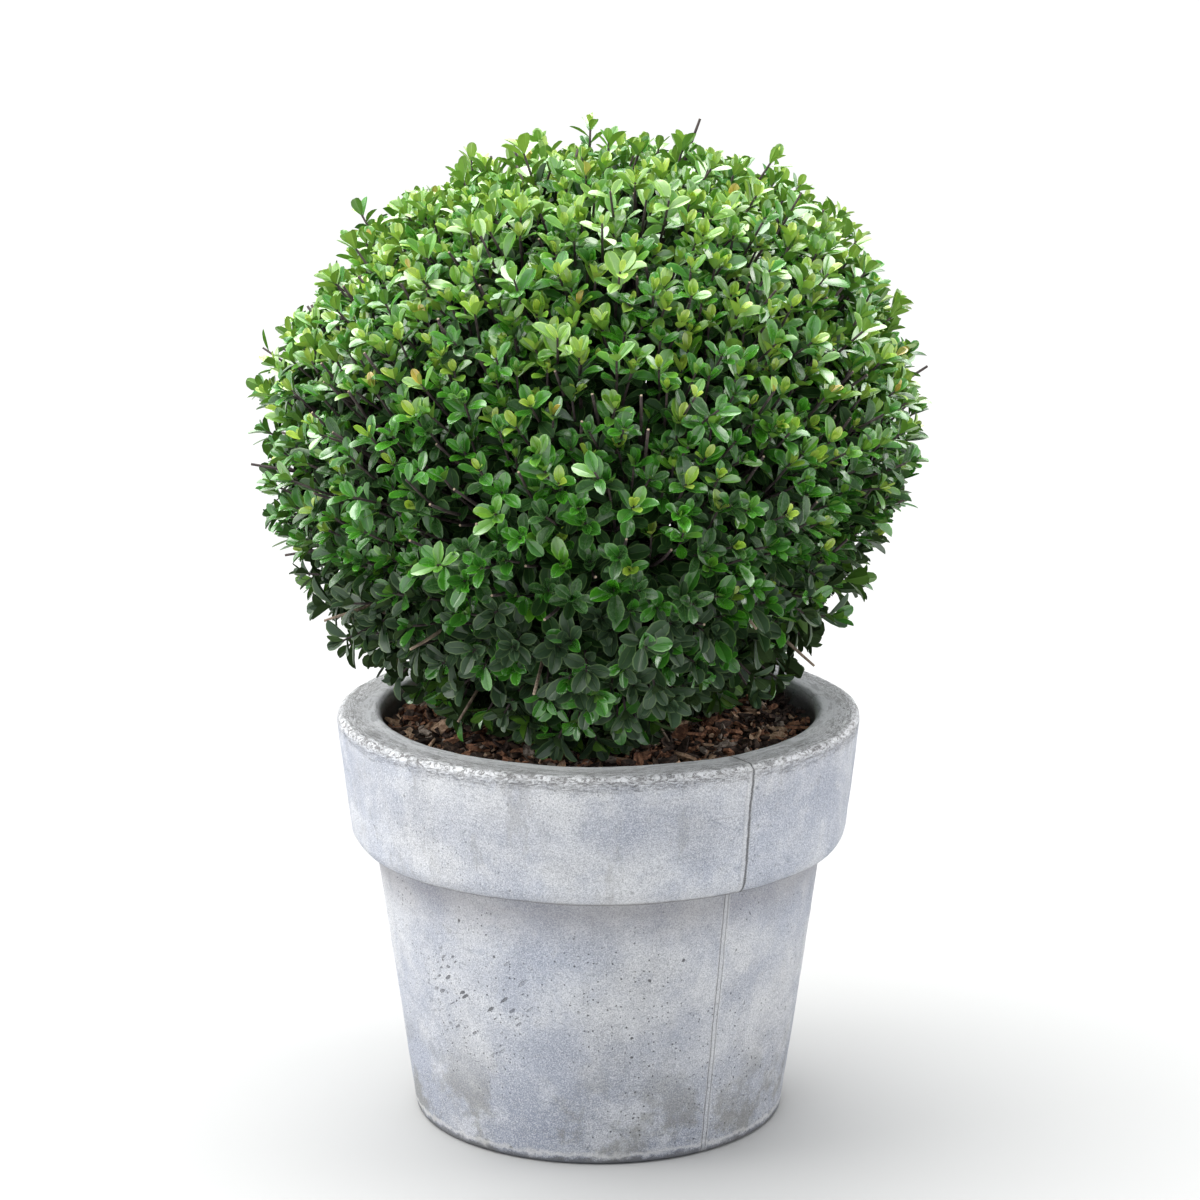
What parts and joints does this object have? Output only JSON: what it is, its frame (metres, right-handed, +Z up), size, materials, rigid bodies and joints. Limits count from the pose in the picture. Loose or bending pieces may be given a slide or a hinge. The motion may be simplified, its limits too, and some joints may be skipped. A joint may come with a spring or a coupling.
{
  "type": "potted japanese holly ball",
  "caption": "Small-leaved evergreen shrub clipped to a ball, growing in a round tapered concrete pot with a deep collar, topped with bark mulch.",
  "frame": {"origin": "centre of the pot's flat underside", "axes": "+Z up along the pot's axis; -Y towards the side shown in the picture"},
  "size_m": [0.5075, 0.5113, 0.7539],
  "materials": {
    "concrete": "aged pale grey cast concrete, matt, mottled and pitted",
    "compost": "dark moist potting compost",
    "bark_chips": "reddish-brown chipped bark, rough",
    "wood": "dark brown-grey bark, slightly rough",
    "leaves": "glossy mid green leaves with a paler underside"
  },
  "bodies": {
    "root": {"pot": "concrete", "compost": "compost", "bark_mulch": "bark_chips", "trunk": "wood", "bough_upper_1": "wood", "bough_upper_2": "wood", "bough_upper_3": "wood", "bough_upper_4": "wood", "bough_upper_5": "wood", "bough_lower_1": "wood", "bough_lower_2": "wood", "bough_lower_3": "wood", "bough_lower_4": "wood", "bough_lower_5": "wood", "foliage_top": "leaves", "foliage_upper_1": "leaves", "foliage_upper_2": "leaves", "foliage_upper_3": "leaves", "foliage_upper_4": "leaves", "foliage_upper_5": "leaves", "foliage_lower_1": "leaves", "foliage_lower_2": "leaves", "foliage_lower_3": "leaves", "foliage_lower_4": "leaves", "foliage_lower_5": "leaves"}
  },
  "joints": []
}
